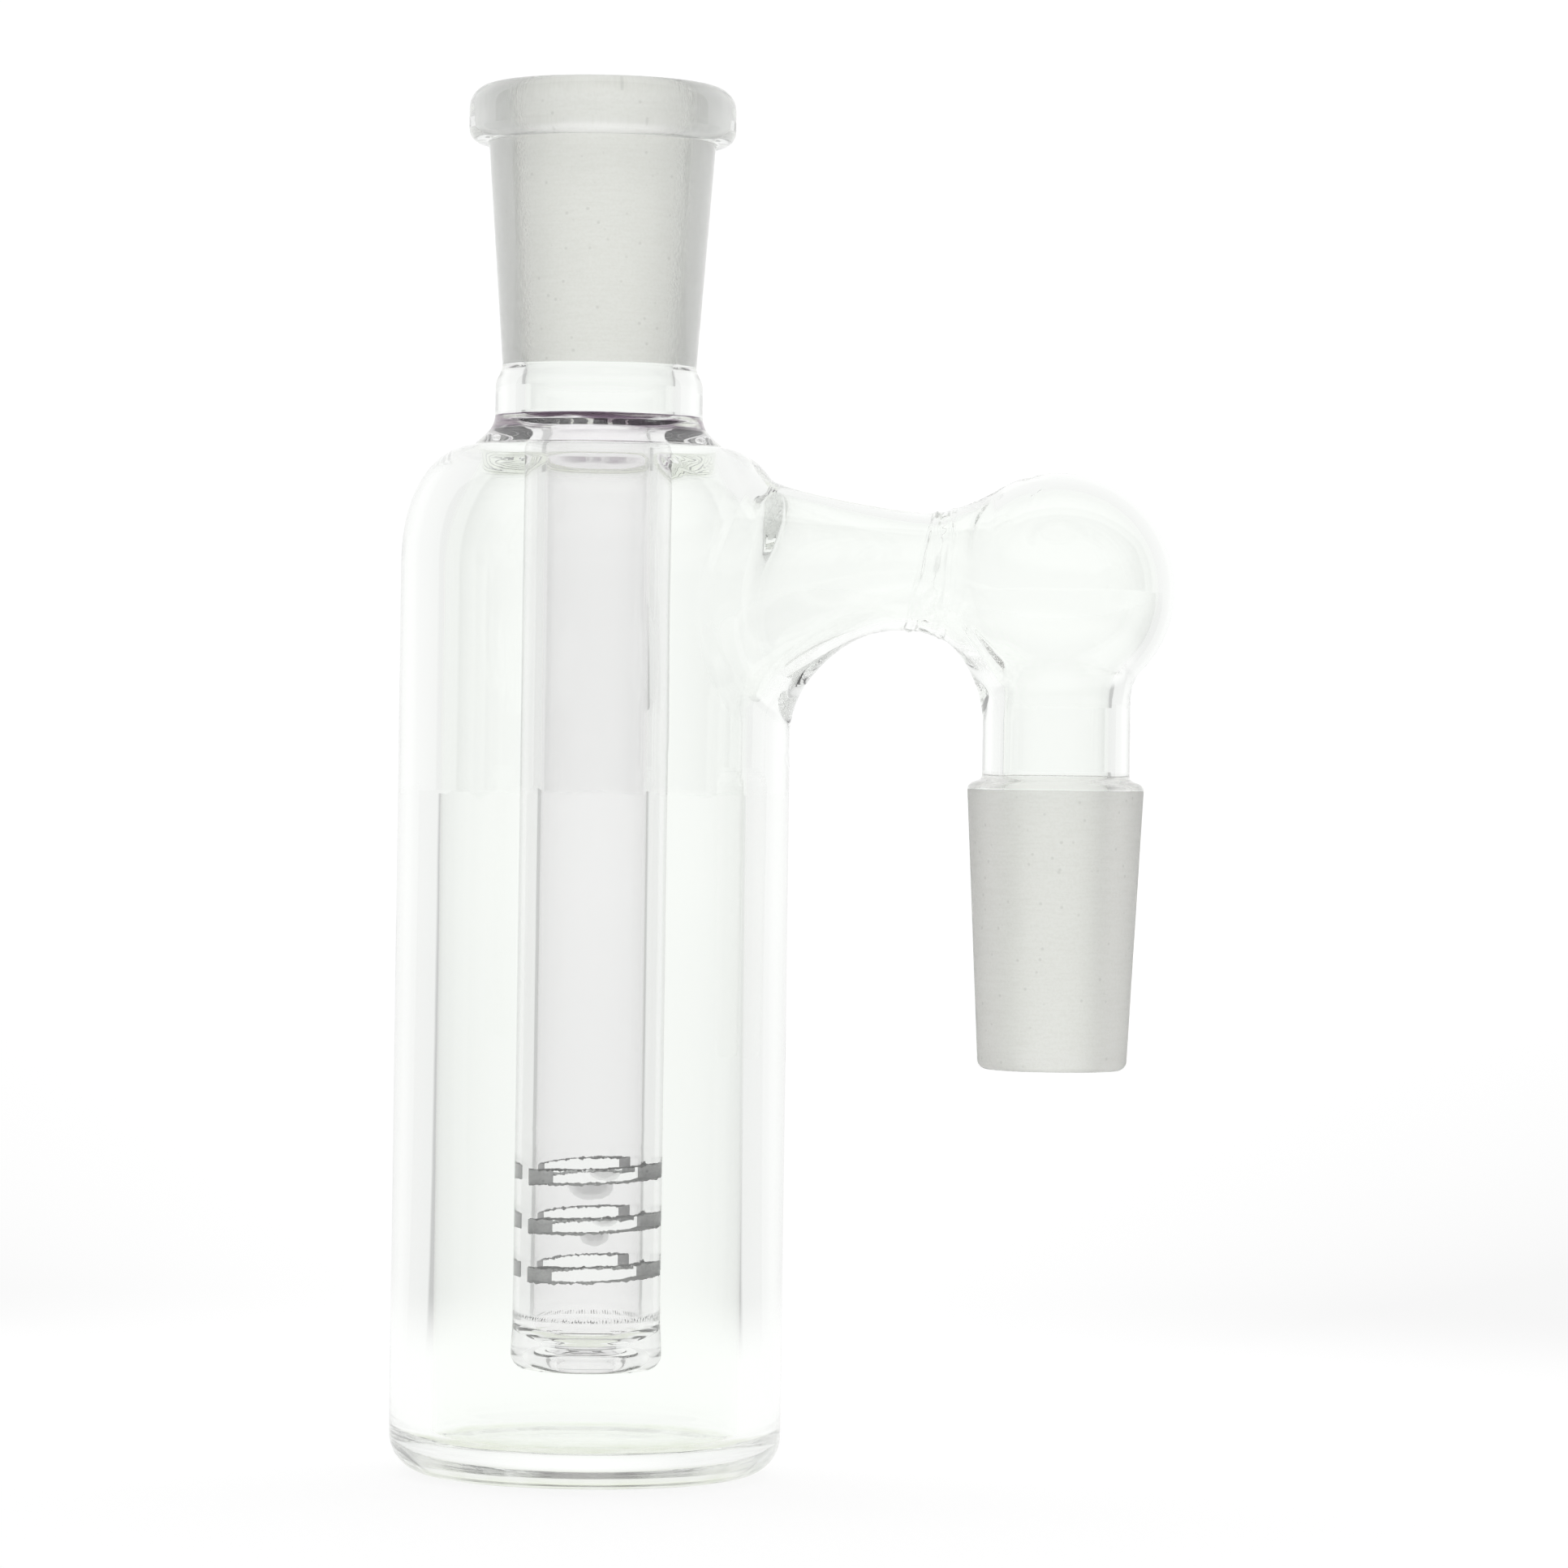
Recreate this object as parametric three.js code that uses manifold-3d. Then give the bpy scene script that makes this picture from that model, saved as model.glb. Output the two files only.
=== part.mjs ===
// Fused-glass bubbler: a thick-walled cylinder with a slotted dip tube inside, a ground socket on top,
// and a bent side arm that ends in a downward ground cone.
// Millimetres, +Z up. The origin is the centre of the foot, and +X points along the side arm.

import * as THREE from 'three';
import { mergeVertices } from 'three/addons/utils/BufferGeometryUtils.js';
import Module from 'manifold-3d';

const wasm = await Module();
wasm.setup();

// ---------------------------------------------------------------- driving dimensions

// Ground joints: the 14/23 standard taper, 1 in 10 on the diameter
const jointLargeRadius = 14.5 / 2;
const jointLength = 23;
const jointTaper = 1 / 10;

// Body and base
const bodyRadius = 16.1;
const bodyWall = 3.5;
const bodyTubeLength = 67.3;
const baseHeight = 7;
const floorThickness = 2.8;
const footCornerRadius = 3.2;
const floorCornerRadius = 3;

// Shoulder and ring seal
const shoulderHeight = 10;
const shoulderCrownRadius = 10.3;
const shoulderInnerHeight = 9;
const shoulderThroatGap = 1;
const sealHeight = 2.5;
const sealWaistSwell = 0.15;
const sealCurveRise = 0.65;

// Socket and its neck
const neckLength = 4.2;
const neckWall = 2.45;
const neckTaperLength = 1.5;
const socketWallBottom = 1.9;
const socketWallTop = 2.33;
const rimHeight = 4.6;
const rimRadius = 11;
const rimTopRounding = 1.3;
const rimBottomRounding = 0.9;

// Dip tube, its slots and its tip
const dipTubeRadius = 6.075;
const dipTubeWall = 1.725;
const tipClearance = 5.8;
const tipHeight = 4.2;
const tipThroatRadius = 2.35;
const tipThroatRise = 2.1;
const tipMouthRadius = 3.5;
const tipMouthRise = 1.05;
const tipBulge = 0.12;
const tipRounding = 1.5;
const diffuserLength = 15.7;
const slotRows = 3;
const slotPitch = 4;
const slotHeight = 1.3;
const slotDepth = 3.5;
const slotFirstRise = 4.3;
const slotTurnDegrees = 15;

// Side arm
const armRadius = 4.85;
const armWall = 0.8;
const armAxisRise = 0.2;
const armReach = 21.9;
const weldSetback = 12;
const weldLength = 2.6;
const weldRidge = 0.2;

// Bulb, drop neck and cone
const bulbRadius = 9.65;
const bulbWall = 1.35;
const bulbDrop = 1.4;
const bulbNeckFillet = 3;
const dropNeckRadius = 6.075;
const dropNeckWall = 1.775;
const dropNeckLength = 6.45;
const coneCollarHeight = 1.2;
const coneCollarStep = 0.95;
const coneLipRounding = 0.8;

// Clearance left where one piece is cut to fit round its neighbour
const cutGap = 0.3;

// Flares of the arm. Each has a round of this radius, spreads no further than its limit, and runs out
// into the straight tube this far from the body's wall, or from the axis of the bulb. The round under
// the bulb stops a little above the top of the drop neck.
const archRoundAtBody = 8.7;
const archRoundAtNeck = 6.5;
const archRoundLift = 0.96;
const flareUnderBody = { radius: archRoundAtBody, limit: archRoundAtBody, runout: archRoundAtBody + cutGap };
const flareOverBody = { radius: 12, limit: 2.5, runout: 6 };
const flareBesideBody = { radius: 6, limit: 5, runout: 6 };
const flareOverBulb = { radius: 8, limit: 1.2, runout: 11.5 };
const flareBesideBulb = { radius: 6, limit: 2, runout: 10.8 };

// Facets round a full turn, and steps along the curved stretches of an outline
const facets = 36;
const roundingSteps = 2;
const wallSteps = 3;
const bulbSteps = 4;
const armSteps = 8;
const weldSteps = 4;

// ---------------------------------------------------------------- places that follow

const dipTubeBore = dipTubeRadius - dipTubeWall;
const bodyBore = bodyRadius - bodyWall;
const shoulderBottom = baseHeight + bodyTubeLength;
const sealBottom = shoulderBottom + shoulderHeight;
const neckBottom = sealBottom + sealHeight;
const socketBottom = neckBottom + neckLength;
const rimTop = socketBottom + jointLength;
const rimBottom = rimTop - rimHeight;
const neckBore = jointRadius(jointLength);
const neckRadius = neckBore + neckWall;
const socketRadiusBottom = neckBore + socketWallBottom;
const socketRadiusTop = jointRadius(rimHeight) + socketWallTop;

const tipBottom = floorThickness + tipClearance;
const diffuserBottom = tipBottom + tipHeight;
const dipTubeBottom = diffuserBottom + diffuserLength;

const armHeight = shoulderBottom + armAxisRise;
const armBore = armRadius - armWall;
const dropAxis = bodyRadius + armReach;
const weldStart = dropAxis - weldSetback;
const weldEnd = weldStart + weldLength;
const bulbCentre = armHeight - bulbDrop;
const bulbBore = bulbRadius - bulbWall;
const dropNeckBore = dropNeckRadius - dropNeckWall;
const dropNeckTop = bulbCentre - filletDrop(bulbRadius, dropNeckRadius, bulbNeckFillet);
const flareUnderBulb = {
  radius: archRoundAtNeck,
  limit: armHeight - armRadius - dropNeckTop - archRoundLift,
  runout: dropNeckRadius + archRoundAtNeck,
};
const collarTop = dropNeckTop - dropNeckLength;
const coneTop = collarTop - coneCollarHeight;
const coneBottom = coneTop - jointLength;

// Radius of the ground taper, a distance in from its large end
function jointRadius(fromLargeEnd) {
  return jointLargeRadius - (jointTaper / 2) * fromLargeEnd;
}

// Height between a sphere's centre and the end of the fillet that leads it into a coaxial neck
function filletDrop(sphereRadius, neck, fillet) {
  return Math.sqrt((sphereRadius + fillet) ** 2 - (neck + fillet) ** 2);
}

// ---------------------------------------------------------------- solids and booleans

// A closed outline in radius and height, turned about the Z axis
function revolve(outline, steps = roundingSteps) {
  const geometry = new THREE.LatheGeometry(outline.getPoints(steps), facets);
  return geometry.rotateX(Math.PI / 2);
}

// A straight-sided ring, from its bore outwards, between two heights
function ring(bottom, top, boreBottom, radiusBottom, boreTop = boreBottom, radiusTop = radiusBottom) {
  const outline = new THREE.Path();
  outline.moveTo(boreBottom, bottom);
  outline.lineTo(radiusBottom, bottom);
  outline.lineTo(radiusTop, top);
  outline.lineTo(boreTop, top);
  outline.closePath();
  return revolve(outline);
}

// A plain round rod along +X on the arm's axis
function armRod(radius, start, end) {
  const rod = new THREE.CylinderGeometry(radius, radius, end - start, facets);
  return rod.rotateZ(Math.PI / 2).translate((start + end) / 2, 0, armHeight);
}

function toManifold(geometry) {
  const bare = geometry.clone();
  bare.deleteAttribute('normal');
  bare.deleteAttribute('uv');
  const welded = mergeVertices(bare);
  const vertProperties = new Float32Array(welded.getAttribute('position').array);
  const triVerts = new Uint32Array(welded.getIndex().array);
  return new wasm.Manifold(new wasm.Mesh({ numProp: 3, vertProperties, triVerts }));
}

function toGeometry(solid) {
  const mesh = solid.getMesh();
  const geometry = new THREE.BufferGeometry();
  geometry.setAttribute('position', new THREE.BufferAttribute(mesh.vertProperties, 3));
  geometry.setIndex(new THREE.BufferAttribute(mesh.triVerts, 1));
  geometry.computeVertexNormals();
  return geometry;
}

// ---------------------------------------------------------------- socket end

function socketRim() {
  const outline = new THREE.Path();
  outline.moveTo(jointRadius(rimHeight), rimBottom);
  outline.lineTo(rimRadius - rimBottomRounding, rimBottom);
  outline.absarc(rimRadius - rimBottomRounding, rimBottom + rimBottomRounding,
    rimBottomRounding, -Math.PI / 2, 0, false);
  outline.absarc(rimRadius - rimTopRounding, rimTop - rimTopRounding, rimTopRounding, 0, Math.PI / 2, false);
  outline.lineTo(jointLargeRadius, rimTop);
  outline.closePath();
  return revolve(outline);
}

function groundSocket() {
  return ring(socketBottom, rimBottom, neckBore, socketRadiusBottom, jointRadius(rimHeight), socketRadiusTop);
}

function socketNeck() {
  const outline = new THREE.Path();
  outline.moveTo(neckBore, neckBottom);
  outline.lineTo(neckRadius, neckBottom);
  outline.lineTo(neckRadius, socketBottom - neckTaperLength);
  outline.lineTo(socketRadiusBottom, socketBottom);
  outline.lineTo(neckBore, socketBottom);
  outline.closePath();
  return revolve(outline);
}

// The collar where neck, shoulder and dip tube are melted together
function ringSeal() {
  const waistRadius = neckRadius + sealWaistSwell;
  const outline = new THREE.Path();
  outline.moveTo(dipTubeBore, sealBottom);
  outline.lineTo(shoulderCrownRadius, sealBottom);
  outline.quadraticCurveTo(waistRadius, sealBottom + sealCurveRise, neckRadius, neckBottom);
  outline.lineTo(neckBore, neckBottom);
  outline.quadraticCurveTo(dipTubeBore, neckBottom - sealCurveRise, dipTubeBore, sealBottom);
  return revolve(outline);
}

// ---------------------------------------------------------------- body

function bodyShoulder() {
  const throat = dipTubeRadius + shoulderThroatGap;
  const outline = new THREE.Path();
  outline.moveTo(bodyBore, shoulderBottom);
  outline.lineTo(bodyRadius, shoulderBottom);
  outline.absellipse(shoulderCrownRadius, shoulderBottom, bodyRadius - shoulderCrownRadius, shoulderHeight,
    0, Math.PI / 2, false);
  outline.lineTo(throat, sealBottom);
  outline.absellipse(throat, shoulderBottom, bodyBore - throat, shoulderInnerHeight, Math.PI / 2, 0, true);
  return toGeometry(toManifold(revolve(outline, wallSteps)).subtract(armPassage()));
}

function bodyTube() {
  const tube = toManifold(ring(baseHeight, shoulderBottom, bodyBore, bodyRadius));
  return toGeometry(tube.subtract(armPassage()));
}

// The hole that the arm's bore makes through the body's wall
function armPassage() {
  return toManifold(armRod(armBore, 0, dropAxis));
}

function base() {
  const outline = new THREE.Path();
  outline.moveTo(0, 0);
  outline.lineTo(bodyRadius - footCornerRadius, 0);
  outline.absarc(bodyRadius - footCornerRadius, footCornerRadius, footCornerRadius, -Math.PI / 2, 0, false);
  outline.lineTo(bodyRadius, baseHeight);
  outline.lineTo(bodyBore, baseHeight);
  outline.absarc(bodyBore - floorCornerRadius, floorThickness + floorCornerRadius, floorCornerRadius,
    0, -Math.PI / 2, true);
  outline.lineTo(0, floorThickness);
  return revolve(outline, wallSteps);
}

// The outside of shoulder and body as one solid, grown by the clearance for cutting the arm
function grownBody() {
  const outline = new THREE.Path();
  outline.moveTo(0, 0);
  outline.lineTo(bodyRadius + cutGap, 0);
  outline.absellipse(shoulderCrownRadius, shoulderBottom, bodyRadius + cutGap - shoulderCrownRadius,
    shoulderHeight + cutGap, 0, Math.PI / 2, false);
  outline.lineTo(0, sealBottom + cutGap);
  return toManifold(revolve(outline, wallSteps));
}

// ---------------------------------------------------------------- dip tube

function dipTube() {
  return ring(dipTubeBottom, sealBottom, dipTubeBore, dipTubeRadius);
}

// The lower length of the dip tube, sawn from two opposite sides in each row
function slottedDiffuser() {
  let tube = toManifold(ring(diffuserBottom, dipTubeBottom, dipTubeBore, dipTubeRadius));
  const sawWidth = 2 * (dipTubeRadius + slotDepth);
  for (let row = 0; row < slotRows; row += 1) {
    for (const side of [-1, 1]) {
      const cut = new THREE.BoxGeometry(sawWidth, sawWidth, slotHeight);
      cut.translate(0, side * (dipTubeRadius - slotDepth + sawWidth / 2), 0);
      cut.rotateZ(THREE.MathUtils.degToRad(slotTurnDegrees));
      cut.translate(0, 0, diffuserBottom + slotFirstRise + row * slotPitch);
      tube = tube.subtract(toManifold(cut));
    }
  }
  return toGeometry(tube);
}

// The tip: the bore closes in to a throat, then opens to a small bell mouth
function diffuserTip() {
  const throatHeight = tipBottom + tipThroatRise;
  const boreRounding = dipTubeBore - tipThroatRadius;
  const widest = dipTubeRadius + tipBulge;
  const outline = new THREE.Path();
  outline.moveTo(tipMouthRadius, tipBottom);
  outline.lineTo(widest - tipRounding, tipBottom);
  outline.absarc(widest - tipRounding, tipBottom + tipRounding, tipRounding, -Math.PI / 2, 0, false);
  outline.lineTo(dipTubeRadius, diffuserBottom);
  outline.lineTo(dipTubeBore, diffuserBottom);
  outline.absarc(tipThroatRadius, throatHeight + boreRounding, boreRounding, 0, -Math.PI / 2, true);
  outline.quadraticCurveTo(tipThroatRadius, tipBottom + tipMouthRise, tipMouthRadius, tipBottom);
  return revolve(outline);
}

// ---------------------------------------------------------------- side arm

// How far a round flare stands out, a distance short of where it runs into the straight tube
function flareRise(flare, distance) {
  const reach = THREE.MathUtils.clamp(distance, 0, flare.radius);
  return Math.min(flare.radius - Math.sqrt(flare.radius ** 2 - reach ** 2), flare.limit);
}

// How far the arm stands out at one place along it, from the flares at its two ends
function armFlare(x, atBody, atBulb) {
  const shortOfTube = bodyRadius + atBody.runout - x;
  const pastTube = x - (dropAxis - atBulb.runout);
  return flareRise(atBody, shortOfTube) + flareRise(atBulb, pastTube);
}

// A length of the arm's tube, with its flares; ridge swells the middle of the length
function armLength(start, end, steps, ridge = 0) {
  const outer = [];
  for (let step = 0; step <= steps; step += 1) {
    const along = step / steps;
    const swell = ridge * Math.sin(Math.PI * along);
    outer.push(new THREE.Vector2(armRadius + swell, THREE.MathUtils.lerp(start, end, along)));
  }
  const bore = [new THREE.Vector2(armBore, end), new THREE.Vector2(armBore, start)];
  const tube = new THREE.LatheGeometry([...outer, ...bore, outer[0].clone()], facets);
  tube.rotateZ(-Math.PI / 2);
  spreadFlares(tube);
  return toManifold(tube.translate(0, 0, armHeight));
}

// Moves the outer skin out to the flares, and back round the body where the tube meets it
function spreadFlares(tube) {
  const position = tube.getAttribute('position');
  const skinFloor = (armRadius + armBore) / 2;
  for (let index = 0; index < position.count; index += 1) {
    const x = position.getX(index);
    const y = position.getY(index);
    const z = position.getZ(index);
    const radius = Math.hypot(y, z);
    if (radius > skinFloor) {
      const over = armFlare(x, flareOverBody, flareOverBulb);
      const under = armFlare(x, flareUnderBody, flareUnderBulb);
      const beside = armFlare(x, flareBesideBody, flareBesideBulb);
      const height = z > 0 ? over : under;
      const wideY = y * (1 + beside / armRadius);
      const nearBody = THREE.MathUtils.clamp(1 - (x - bodyRadius) / flareBesideBody.radius, 0, 1);
      const hug = bodyRadius - Math.sqrt(bodyRadius ** 2 - wideY ** 2);
      position.setXYZ(index, x - hug * nearBody, wideY, z * (1 + height / armRadius));
    }
  }
}

function sideArm() {
  const start = shoulderCrownRadius + bodyWall;
  return toGeometry(armLength(start, weldStart, armSteps).subtract(grownBody()));
}

function armWeldRing() {
  return toGeometry(armLength(weldStart, weldEnd, weldSteps, weldRidge));
}

// ---------------------------------------------------------------- bulb and drop

// The outline of the bulb on its neck, from a height in the neck up to the crown
function bulbOutline(bottom, sphereRadius, neck, fillet) {
  const drop = filletDrop(sphereRadius, neck, fillet);
  const meeting = Math.atan2(drop, neck + fillet);
  const outline = new THREE.Path();
  outline.moveTo(0, bottom);
  outline.lineTo(neck, bottom);
  outline.absarc(neck + fillet, bulbCentre - drop, fillet, Math.PI, Math.PI - meeting, true);
  outline.absarc(0, bulbCentre, sphereRadius, -meeting, Math.PI / 2, false);
  return outline;
}

function elbowBulb() {
  const innerFillet = bulbNeckFillet + bulbWall;
  const skinOutline = bulbOutline(dropNeckTop, bulbRadius, dropNeckRadius, bulbNeckFillet);
  const hollowOutline = bulbOutline(collarTop, bulbBore, dropNeckBore, innerFillet);
  const skin = toManifold(revolve(skinOutline, bulbSteps));
  const hollow = toManifold(revolve(hollowOutline, bulbSteps));
  const stubEnd = dropAxis - bulbBore / 2;
  const stub = armLength(weldEnd, stubEnd, weldSteps).translate([-dropAxis, 0, 0]);
  const passage = toManifold(armRod(armBore, -bulbRadius - weldSetback, 0));
  const bulb = skin.add(stub).subtract(hollow).subtract(passage);
  return toGeometry(bulb.translate([dropAxis, 0, 0]));
}

function dropNeck() {
  return ring(collarTop, dropNeckTop, dropNeckBore, dropNeckRadius).translate(dropAxis, 0, 0);
}

function groundCone() {
  const lipHeight = coneBottom + coneLipRounding;
  const lipRadius = jointRadius(jointLength - coneLipRounding);
  const outline = new THREE.Path();
  outline.moveTo(dropNeckBore, coneBottom);
  outline.lineTo(lipRadius - coneLipRounding, coneBottom);
  outline.absarc(lipRadius - coneLipRounding, lipHeight, coneLipRounding, -Math.PI / 2, 0, false);
  outline.lineTo(jointLargeRadius, coneTop);
  outline.lineTo(jointLargeRadius - coneCollarStep, collarTop);
  outline.lineTo(dropNeckBore, collarTop);
  outline.closePath();
  return revolve(outline).translate(dropAxis, 0, 0);
}

// ---------------------------------------------------------------- assembly

function clearGlass() {
  return new THREE.MeshStandardMaterial({ color: 0xf2f6f2, roughness: 0.03, metalness: 0 });
}

function dipGlass() {
  return new THREE.MeshStandardMaterial({ color: 0xe6e4e8, roughness: 0.04, metalness: 0 });
}

function groundGlass() {
  return new THREE.MeshStandardMaterial({ color: 0xdfe1db, roughness: 0.6, metalness: 0 });
}

function named(name, geometry, material) {
  const mesh = new THREE.Mesh(geometry, material);
  mesh.name = name;
  return mesh;
}

const bubbler = new THREE.Group();
bubbler.name = 'bubbler';
bubbler.add(
  named('socket_rim', socketRim(), groundGlass()),
  named('ground_socket', groundSocket(), groundGlass()),
  named('socket_neck', socketNeck(), clearGlass()),
  named('ring_seal', ringSeal(), dipGlass()),
  named('body_shoulder', bodyShoulder(), clearGlass()),
  named('body_tube', bodyTube(), clearGlass()),
  named('base', base(), clearGlass()),
  named('dip_tube', dipTube(), dipGlass()),
  named('slotted_diffuser', slottedDiffuser(), dipGlass()),
  named('diffuser_tip', diffuserTip(), dipGlass()),
  named('side_arm', sideArm(), clearGlass()),
  named('arm_weld_ring', armWeldRing(), clearGlass()),
  named('elbow_bulb', elbowBulb(), clearGlass()),
  named('drop_neck', dropNeck(), clearGlass()),
  named('ground_cone', groundCone(), groundGlass()),
);

export default bubbler;
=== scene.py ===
"""Fused-glass bubbler: a thick cylinder with a slotted dip tube, a ground socket on top, and a side
arm that turns down through a bulb into a ground cone. Every length in the code is in metres.

The vessel is one continuous skin of glass, so it is made as one: outlines are turned about their axes,
the branches are drawn out of the walls, and the skin is then parted into the pieces that a glassblower
melts together. Where two pieces meet, each is closed by a fused face that light passes unchanged."""
import math

import bpy
import numpy as np
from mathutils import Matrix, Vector, noise


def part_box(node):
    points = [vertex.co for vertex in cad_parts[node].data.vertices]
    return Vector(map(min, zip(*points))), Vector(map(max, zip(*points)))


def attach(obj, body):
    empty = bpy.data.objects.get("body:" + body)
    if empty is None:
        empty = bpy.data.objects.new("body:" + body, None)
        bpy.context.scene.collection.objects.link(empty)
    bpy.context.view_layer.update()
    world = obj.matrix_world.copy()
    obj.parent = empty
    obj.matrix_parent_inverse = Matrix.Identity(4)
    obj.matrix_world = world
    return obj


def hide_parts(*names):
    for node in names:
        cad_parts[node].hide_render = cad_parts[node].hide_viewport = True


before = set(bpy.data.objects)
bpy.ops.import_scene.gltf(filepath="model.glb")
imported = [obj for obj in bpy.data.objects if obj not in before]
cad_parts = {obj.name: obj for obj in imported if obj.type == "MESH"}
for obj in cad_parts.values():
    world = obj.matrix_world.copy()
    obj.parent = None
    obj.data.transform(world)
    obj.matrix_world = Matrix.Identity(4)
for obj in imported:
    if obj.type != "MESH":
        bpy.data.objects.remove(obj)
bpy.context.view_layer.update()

MM = 0.001
TURN = 2 * math.pi

# ------------------------------------------------------------------ sizes taken from the frame


def low(node):
    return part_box(node)[0]


def high(node):
    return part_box(node)[1]


BODY_RADIUS = high("body_tube").x
BASE_TOP = high("base").z
SHOULDER_BOTTOM = low("body_shoulder").z
SEAL_BOTTOM = low("ring_seal").z
NECK_BOTTOM = low("socket_neck").z
SOCKET_BOTTOM = low("ground_socket").z
RIM_BOTTOM = low("socket_rim").z
RIM_TOP = high("socket_rim").z
RIM_RADIUS = high("socket_rim").x
NECK_RADIUS = high("socket_neck").x
CROWN_RADIUS = high("ring_seal").x
SOCKET_TOP_RADIUS = high("ground_socket").x
DIP_RADIUS = high("dip_tube").x
DIP_BOTTOM = low("dip_tube").z
SLOTS_BOTTOM = low("slotted_diffuser").z
TIP_BOTTOM = low("diffuser_tip").z
TIP_RADIUS = high("diffuser_tip").x
WELD_START = low("arm_weld_ring").x
WELD_END = high("arm_weld_ring").x
DROP_X = (low("ground_cone").x + high("ground_cone").x) / 2
DROP_RADIUS = (high("drop_neck").x - low("drop_neck").x) / 2
BULB_TOP = high("elbow_bulb").z
BULB_RADIUS = high("elbow_bulb").y
COLLAR_TOP = low("drop_neck").z
CONE_BOTTOM = low("ground_cone").z
CONE_RADIUS = high("ground_cone").y

# ------------------------------------------------------------------ sizes of the glass itself

JOINT_TAPER = 0.05           # change of radius for each unit of length: 1 in 10 on the diameter
JOINT_LENGTH = 23 * MM
BODY_BORE = BODY_RADIUS - 3.5 * MM
DIP_BORE = DIP_RADIUS - 1.725 * MM
DROP_BORE = DROP_RADIUS - 1.775 * MM
ARM_RADIUS = 4.85 * MM
ARM_BORE = 4.0 * MM
ARM_HEIGHT = SHOULDER_BOTTOM + 0.2 * MM
BULB_WALL = 1.35 * MM
BULB_BORE = BULB_RADIUS - BULB_WALL
BULB_CENTRE = BULB_TOP - BULB_RADIUS
SOCKET_BORE = 6.1 * MM
SOCKET_RADIUS = 8.0 * MM
MOUTH_BORE = SOCKET_BORE + JOINT_TAPER * JOINT_LENGTH
FLOOR = 2.8 * MM
FOOT_ROUND = 3.2 * MM
FLOOR_ROUND = 1.2 * MM       # the floor meets the wall in a tighter corner than the foot outside
SHOULDER_BORE_TOP = SHOULDER_BOTTOM + 9.0 * MM
WEB_ROUND = 0.8 * MM         # fillet between the shoulder's lining and the dip tube
THROAT_RADIUS = DIP_RADIUS + WEB_ROUND
BULB_FILLET = 3 * MM
CONE_TOP = CONE_BOTTOM + JOINT_LENGTH

COLUMNS = 120                # facets round a full turn
POINT_STEP = 1e-8            # points closer than this are one point
PORT_RINGS = 7               # rows of faces between a window's edge and the loop in it
SLOT_TURN = math.radians(15)
SLOT_HEIGHT = 1.2 * MM
SLOT_PITCH = 4 * MM
SLOT_FIRST = SLOTS_BOTTOM + 4.3 * MM
SLOT_ROWS = 3
SLOT_PLANE = DIP_RADIUS - 3.5 * MM

# ------------------------------------------------------------------ outlines in radius and height


def line(start, end, steps):
    """Evenly spaced points from start to end, both in."""
    return [(start[0] + (end[0] - start[0]) * k / steps, start[1] + (end[1] - start[1]) * k / steps)
            for k in range(steps + 1)]


def bow(centre, radii, start, end, steps):
    """Points along an arc of an ellipse, between two angles in degrees, both in."""
    angles = [math.radians(start + (end - start) * k / steps) for k in range(steps + 1)]
    return [(centre[0] + radii[0] * math.cos(a), centre[1] + radii[1] * math.sin(a)) for a in angles]


def sweep(start, pull_start, pull_end, end, steps):
    """Points along a cubic curve that leaves and arrives along its two pulls, both ends in."""
    points = []
    for k in range(steps + 1):
        t = k / steps
        s = 1 - t
        weights = (s ** 3, 3 * s * s * t, 3 * s * t * t, t ** 3)
        corners = (start, pull_start, pull_end, end)
        points.append(tuple(sum(w * c[i] for w, c in zip(weights, corners)) for i in (0, 1)))
    return points


def chain(*stretches):
    """Joins stretches that share their end points."""
    points = list(stretches[0])
    for stretch in stretches[1:]:
        points.extend(stretch[1:])
    return points


def joint_radius(height_above_small_end):
    return SOCKET_BORE + JOINT_TAPER * height_above_small_end


# ------------------------------------------------------------------ the skin, collected face by face


class Skin:
    """Quads and triangles with the piece, the finish and the smoothing group that each belongs to."""

    def __init__(self):
        self.points = []
        self.known = {}
        self.faces = []

    def point(self, place):
        key = tuple(round(c / POINT_STEP) for c in place)
        if key not in self.known:
            self.known[key] = len(self.points)
            self.points.append(tuple(place))
        return self.known[key]

    def face(self, corners, piece, finish, group="wall"):
        kept = [c for i, c in enumerate(corners) if c != corners[i - 1]]
        if len(kept) > 2:
            self.faces.append((kept, piece, finish, group))

    def grid(self, rows, piece, finish, flip=False, group="wall"):
        """Faces between successive closed rows of point numbers."""
        for below, above in zip(rows, rows[1:]):
            for i in range(len(below)):
                j = (i + 1) % len(below)
                corners = [below[i], below[j], above[j], above[i]]
                self.face(corners[::-1] if flip else corners, piece, finish, group)


skin = Skin()


def ring(axis_x, radius, height, turn=1):
    """One row of points round a vertical axis; turn -1 starts on the far side, facing -X."""
    row = []
    for i in range(COLUMNS):
        angle = TURN * i / COLUMNS
        x = axis_x + turn * radius * math.cos(angle)
        row.append(skin.point((x, radius * math.sin(angle), height)))
    return row


def revolve(outline, piece, finish, axis_x=0.0, turn=1):
    """Turns an outline about a vertical axis, and returns its first and last rows."""
    rows = [ring(axis_x, r, z, turn) for r, z in outline]
    skin.grid(rows, piece, finish, flip=turn < 0)
    return rows[0], rows[-1]


def close(outer, inner, pieces, flip=False):
    """Closes both pieces where they are fused, with a face ring between two rows."""
    for piece, other_way in zip(pieces, (flip, not flip)):
        skin.grid([outer, inner], piece, "fused", flip=other_way, group="fused_" + piece)


# ------------------------------------------------------------------ walls that a branch leaves


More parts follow.
